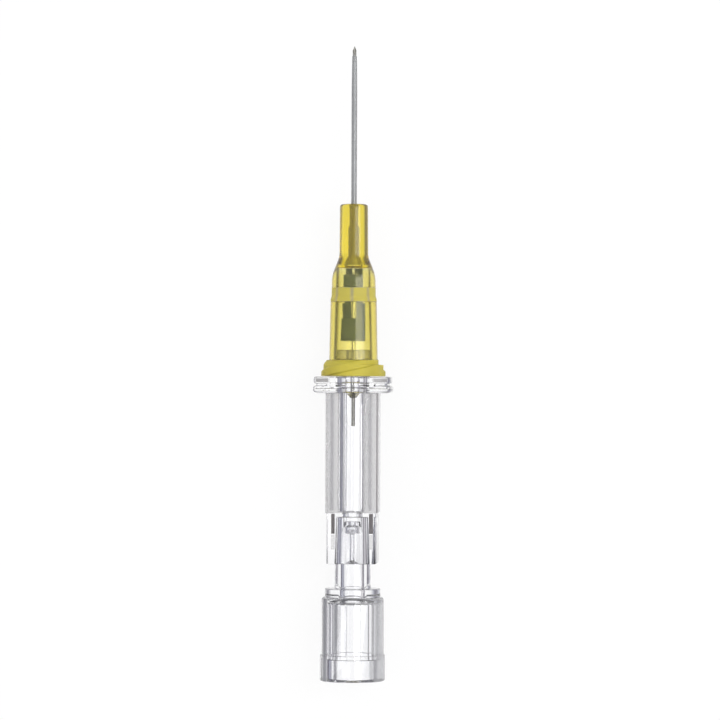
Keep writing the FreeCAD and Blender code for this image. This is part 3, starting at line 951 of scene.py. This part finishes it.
def plate_bars(station):
    """The plate's rear and front leaves, the groove's floor between them and its saddle."""
    yield prism(
        "plate_rear",
        rounded_box(PLATE_HALF_WIDTH, PLATE_HALF_HEIGHT, PLATE_CORNER),
        station,
        GRIP_END,
        GRIP_END + 0.96,
        edge=0.46,
    )
    yield prism(
        "plate_groove",
        rounded_box(PLATE_HALF_WIDTH - 0.45, PLATE_HALF_HEIGHT - 0.35, 1.85),
        station,
        GRIP_END + 0.5,
        PLATE_END - 0.5,
    )
    yield prism(
        "plate_front",
        rounded_box(PLATE_HALF_WIDTH - 0.1, PLATE_HALF_HEIGHT - 0.02, PLATE_CORNER),
        station,
        GRIP_END + 1.12,
        PLATE_END,
        edge=0.26,
    )
    yield prism(
        "plate_saddle",
        rounded_box(SADDLE_HALF, PLATE_HALF_HEIGHT - 0.08, 0.5),
        station,
        GRIP_END + 0.4,
        PLATE_END - 0.5,
    )


def make_nose(station):
    points = [
        (0.0, NOSE_ROOT),
        (NOSE_RADIUS, NOSE_ROOT),
        (NOSE_RADIUS, PLATE_END),
        (2.024, HOLDER_LENGTH, 0.15),
        (0.0, HOLDER_LENGTH),
    ]
    return lathe("nose", rounded(points), station, HOLDER_SEGMENTS)


def make_bores(station):
    points = [
        (0.0, -OVERCUT),
        (LUER_MOUTH + 0.05, -OVERCUT),
        (LUER_MOUTH + 0.05, 0.0),
        (LUER_MOUTH, 0.08),
        (LUER_MOUTH - LUER_SLOPE * LUER_DEPTH, LUER_DEPTH, 0.1),
        (FLASH_RADIUS, LUER_DEPTH, 0.05),
        (FLASH_RADIUS, FLASH_END - 0.4, 0.1),
        (CAVITY_RADIUS, FLASH_END - 0.15, 0.1),
        (CAVITY_RADIUS, CAVITY_END, 0.1),
        (BOSS_RADIUS, CAVITY_END, 0.1),
        (BOSS_RADIUS, FLASH_END, 0.1),
        (0.36, BOSS_REAR, 0.05),
        (NEEDLE_HOLE, BOSS_REAR),
        (NEEDLE_HOLE, WELL_START),
        (WELL_RADIUS, WELL_START - SEAT_GAP),
        (WELL_RADIUS, HOLDER_LENGTH + OVERCUT),
        (0.0, HOLDER_LENGTH + OVERCUT),
    ]
    return lathe("bores", rounded(points), station, HOLDER_SEGMENTS)


def make_holder():
    station = rear("needle_hub")
    holder = prism(
        "needle_hub_fine",
        rounded_box(SOCKET_HALF_WIDTH, SOCKET_HALF_HEIGHT, SOCKET_CORNER, SOCKET_CORNER_STEPS),
        station,
        0.0,
        SOCKET_END + SOCKET_OVERLAP,
        edge=SOCKET_EDGE,
    )
    cut_pockets(holder, station)
    barrel = circle(BARREL_RADIUS, BARREL_CORNERS)
    web = prism("web", barrel, station, BARREL_START, GRIP_END + GRIP_OVERLAP)
    combine(holder, web, "UNION")
    for side in (1, -1):
        combine(holder, make_rail(station, side), "UNION")
    for bar in plate_bars(station):
        combine(holder, bar, "UNION")
    combine(holder, make_nose(station), "UNION")
    combine(holder, make_bores(station), "DIFFERENCE")
    finish_mesh(holder)
    mark(holder, station, holder_painted_shade)
    dress(holder, CLEAR, "needle_unit", "clear_plastic", "needle_hub")


make_holder()


# Flash plug: band, hollow skirt with ribs inside, collar and luer nose
PLUG_LENGTH = node_length("vent_plug")
PLUG_BAND = node_width("vent_plug") / 2
PLUG_SEGMENTS = 256
PLUG_BORE = 2.52
SKIRT_START = 2.6
SKIRT_END = 9.5
MOUTH_RADIUS = 2.68
COLLAR_RADIUS = 3.385
COLLAR_END = 11.25
CHANNEL = 1.15
NARROW_CHANNEL = 0.3
TIP_CAVITY = 0.93
ORIFICE = 0.5

# Ribs at these angles from the top, and waves at the sides, seen as fine lines
PLUG_RIBS = (-27.0, -11.0, 11.0, 28.0)
RIB_END = SKIRT_END + 0.1
RIB_HALF = 1.7
RIB_HEIGHT = 0.08
SIDE_WAVE = 0.032
SIDE_WAVES = 24
SIDE_COSINE = 0.7

# Frost of the nose, and painted shade on the skirt's right and left sides
MATT_FROST = 0.04
MATT_START = 14.4
MATT_END = 18.3
MATT_RADIUS = 1.2
SHADE_RADIUS = 3.5
SHADE_END = 10.0
RIGHT_PAINTED_SHADE = 0.5
RIGHT_START = 2.6
RIGHT_FADE = 0.4
LEFT_PAINTED_SHADE = 1.7
LEFT_PLACE = 3.2
LEFT_HALF = 0.45


def plug_shape(angle, radius, along):
    """Fine ribs and waves along the inside of the skirt."""
    if abs(radius - PLUG_BORE) < 2 * TOUCH and SKIRT_START < along < RIB_END:
        lean = (math.degrees(angle) + 90.0) % 180.0 - 90.0
        away = min(abs((lean - (90.0 + rib) + 90.0) % 180.0 - 90.0) for rib in PLUG_RIBS)
        if away < RIB_HALF:
            return radius - RIB_HEIGHT
        if abs(math.cos(angle)) > SIDE_COSINE:
            return radius + SIDE_WAVE * math.sin(angle * SIDE_WAVES)
    return radius


def plug_frost_and_shade(across, along, up):
    """The nose has a trace of frost, and the skirt has painted shade at its sides, a band on the
    left and a fainter one rising to the right side.
    """
    radius = math.hypot(across, up)
    if radius > MATT_RADIUS and MATT_START < along < MATT_END:
        return MATT_FROST
    if radius > SHADE_RADIUS and along < SHADE_END:
        if across > 0:
            return RIGHT_PAINTED_SHADE * clamp((across - RIGHT_START) / RIGHT_FADE)
        return LEFT_PAINTED_SHADE * clamp(1.0 - abs(across + LEFT_PLACE) / LEFT_HALF)
    return 0.0


def make_plug():
    points = [
        (3.0, 0.0, 0.05),
        (PLUG_BAND, 0.0, 0.15),
        (PLUG_BAND, 3.15, 0.12),
        (3.82, 3.20, 0.05),
        (3.80, 9.75),
        (3.77, 9.95),
        (3.68, 10.1),
        (3.55, 10.18),
        (COLLAR_RADIUS, 10.22, 0.05),
        (COLLAR_RADIUS, COLLAR_END, 0.15),
        (2.22, COLLAR_END, 0.1),
        (2.125, 14.35),
        (2.12, 14.45),
        (2.005, 18.2, 0.1),
        (1.43, PLUG_LENGTH, 0.12),
        (ORIFICE, PLUG_LENGTH, 0.05),
        (ORIFICE, 18.85, 0.05),
        (TIP_CAVITY, 18.65, 0.15),
        (TIP_CAVITY, 18.05, 0.1),
        (NARROW_CHANNEL, 17.9, 0.05),
        (NARROW_CHANNEL, 14.9, 0.1),
        (CHANNEL, 14.4, 0.1),
        (CHANNEL, SKIRT_END, 0.1),
        (PLUG_BORE, SKIRT_END, 0.3),
        (PLUG_BORE, SKIRT_START, 0.08),
        (MOUTH_RADIUS, SKIRT_START, 0.08),
        (MOUTH_RADIUS, 0.32, 0.05),
    ]
    station = rear("vent_plug")
    plug = lathe("vent_plug_fine", rounded(points), station, PLUG_SEGMENTS, plug_shape)
    mark(plug, station, plug_frost_and_shade)
    dress(plug, PLUG_CLEAR, "flash_plug", "plug_plastic", "vent_plug")


make_plug()


# Nodes that keep their own shape and take a finer material
def keep(node, made):
    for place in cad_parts[node].material_slots:
        place.material = made


keep("safety_clip", SPRING_STEEL)
keep("needle_adhesive", GLUE)
keep("filter_membrane", POROUS)


# Floor and room, lengths in metres
WHITE = (1.0, 1.0, 1.0)
FLOOR_HALF = 0.6
FLOOR_COLOUR = (0.95, 0.95, 0.95)
FLOOR_GLOW = 0.9
ROOM_LIGHT = 0.85
ROOM_EDGE = 0.9
LEFT_WALL = (0.40, 0.41, 0.48)
RIGHT_WALL = (0.58, 0.57, 0.59)
DARK_RING = (0.15, 0.14, 0.18)


def either_ray(nodes, links, first, second):
    """1 where either of two light path outputs is 1."""
    made = nodes.new("ShaderNodeMath")
    made.operation = "MAXIMUM"
    links.new(first, made.inputs[0])
    links.new(second, made.inputs[1])
    return made.outputs[0]


def mix_shaders(nodes, links, factor, first, second):
    made = nodes.new("ShaderNodeMixShader")
    links.new(factor, made.inputs["Fac"])
    links.new(first.outputs[0], made.inputs[1])
    links.new(second.outputs[0], made.inputs[2])
    return made


def white_background(nodes, strength):
    made = nodes.new("ShaderNodeBackground")
    made.inputs["Color"].default_value = (*WHITE, 1.0)
    made.inputs["Strength"].default_value = strength
    return made


def stage_floor():
    """Pale floor with a faint shadow; clear plastic looks through it at the lit room."""
    bm = bmesh.new()
    half = FLOOR_HALF
    corners = [(-half, -half), (half, -half), (half, half), (-half, half)]
    bm.faces.new([bm.verts.new((x, y, 0.0)) for x, y in corners])
    floor = new_object("floor", bm)
    made = bpy.data.materials.new("floor")
    made.use_nodes = True
    nodes = made.node_tree.nodes
    links = made.node_tree.links
    nodes.clear()
    output = nodes.new("ShaderNodeOutputMaterial")
    diffuse = nodes.new("ShaderNodeBsdfDiffuse")
    diffuse.inputs["Color"].default_value = (*FLOOR_COLOUR, 1.0)
    seen = nodes.new("ShaderNodeEmission")
    seen.inputs["Color"].default_value = (*WHITE, 1.0)
    rays = nodes.new("ShaderNodeLightPath")
    share = nodes.new("ShaderNodeMath")
    share.operation = "MULTIPLY"
    share.inputs[1].default_value = FLOOR_GLOW
    bright = either_ray(
        nodes, links, rays.outputs["Is Camera Ray"], rays.outputs["Is Glossy Ray"]
    )
    links.new(bright, share.inputs[0])
    solid = mix_shaders(nodes, links, share.outputs[0], diffuse, seen)
    glass_view = nodes.new("ShaderNodeBsdfTransparent")
    final = mix_shaders(nodes, links, rays.outputs["Is Transmission Ray"], solid, glass_view)
    links.new(final.outputs[0], output.inputs["Surface"])
    floor.data.materials.append(made)


def room_colours(nodes, links, climb, wall):
    """White straight below and above, walls, and dark rings under the table and at its height."""
    height = nodes.new("ShaderNodeMapRange")
    height.inputs["From Min"].default_value = -1.0
    height.inputs["From Max"].default_value = 1.0
    links.new(climb, height.inputs["Value"])
    made = nodes.new("ShaderNodeValToRGB")
    stops = made.color_ramp.elements
    for place, colour in (
        (0.09, WHITE),
        (0.13, wall),
        (0.165, DARK_RING),
        (0.23, DARK_RING),
        (0.29, wall),
        (0.44, wall),
        (0.48, DARK_RING),
        (0.52, DARK_RING),
        (0.56, wall),
        (0.66, wall),
        (0.92, WHITE),
    ):
        stop = stops.new(place)
        stop.color = (*colour, 1.0)
    stops.remove(stops[0])
    stops.remove(stops[-1])
    links.new(height.outputs["Result"], made.inputs["Fac"])
    return made.outputs["Color"]


def world_light():
    """Even room light; plastic and metal see it white above and below, dark at the sides."""
    world = bpy.data.worlds.new("room")
    bpy.context.scene.world = world
    world.use_nodes = True
    nodes = world.node_tree.nodes
    links = world.node_tree.links
    nodes.clear()
    output = nodes.new("ShaderNodeOutputWorld")
    place = nodes.new("ShaderNodeTexCoord")
    split = nodes.new("ShaderNodeSeparateXYZ")
    links.new(place.outputs["Generated"], split.inputs["Vector"])
    side = nodes.new("ShaderNodeMapRange")
    side.inputs["From Min"].default_value = -ROOM_EDGE
    side.inputs["From Max"].default_value = ROOM_EDGE
    links.new(split.outputs["X"], side.inputs["Value"])
    left = room_colours(nodes, links, split.outputs["Z"], LEFT_WALL)
    right = room_colours(nodes, links, split.outputs["Z"], RIGHT_WALL)
    walls = mix_colours(nodes, links, side.outputs["Result"], left, right)
    room = white_background(nodes, 1.0)
    links.new(walls, room.inputs["Color"])
    rays = nodes.new("ShaderNodeLightPath")
    sharp = either_ray(
        nodes, links, rays.outputs["Is Glossy Ray"], rays.outputs["Is Transmission Ray"]
    )
    inner = mix_shaders(nodes, links, sharp, white_background(nodes, ROOM_LIGHT), room)
    seen = white_background(nodes, 1.0)
    final = mix_shaders(nodes, links, rays.outputs["Is Camera Ray"], inner, seen)
    links.new(final.outputs[0], output.inputs["Surface"])


# Lamps: name, place, width and length, and power
LAMPS = (
    ("right_box", (0.22, 0.05, 0.30), (0.16, 0.30), 0.55),
    ("left_box", (-0.30, -0.05, 0.26), (0.06, 0.30), 0.12),
)


def soft_lamp(name, place, size, power):
    """Soft box aimed at the middle of the part."""
    lamp = bpy.data.lights.new(name, "AREA")
    lamp.shape = "RECTANGLE"
    lamp.size, lamp.size_y = size
    lamp.energy = power
    obj = bpy.data.objects.new(name, lamp)
    bpy.context.scene.collection.objects.link(obj)
    obj.location = place
    aim = Vector((0.0, 0.0, AXIS_Z)) - Vector(place)
    obj.rotation_euler = aim.to_track_quat("-Z", "Y").to_euler()


stage_floor()
world_light()
for lamp_row in LAMPS:
    soft_lamp(*lamp_row)


# Camera, lengths in metres and the sensor in millimetres
CAMERA_DISTANCE = 0.45
CAMERA_CLIP = (0.01, 10.0)
VIEW_CENTRE = (0.0008, 0.00036)
VIEW_WIDTH = 0.0878
VIEW_TILT = math.radians(4.5)
VIEW_ROLL = math.radians(0.21)
SENSOR = 36.0


def photo_camera():
    """Camera above the part, leaning a little to its right side."""
    camera = bpy.data.cameras.new("camera")
    camera.sensor_width = SENSOR
    camera.lens = SENSOR * CAMERA_DISTANCE / VIEW_WIDTH
    camera.clip_start, camera.clip_end = CAMERA_CLIP
    obj = bpy.data.objects.new("camera", camera)
    bpy.context.scene.collection.objects.link(obj)
    target = Vector((*VIEW_CENTRE, AXIS_Z))
    turn = Matrix.Rotation(VIEW_TILT, 4, "Y") @ Matrix.Rotation(VIEW_ROLL, 4, "Z")
    away = turn @ Vector((0.0, 0.0, CAMERA_DISTANCE))
    obj.matrix_world = Matrix.Translation(target + away) @ turn
    bpy.context.scene.camera = obj


photo_camera()
bpy.context.scene.view_settings.view_transform = "Standard"
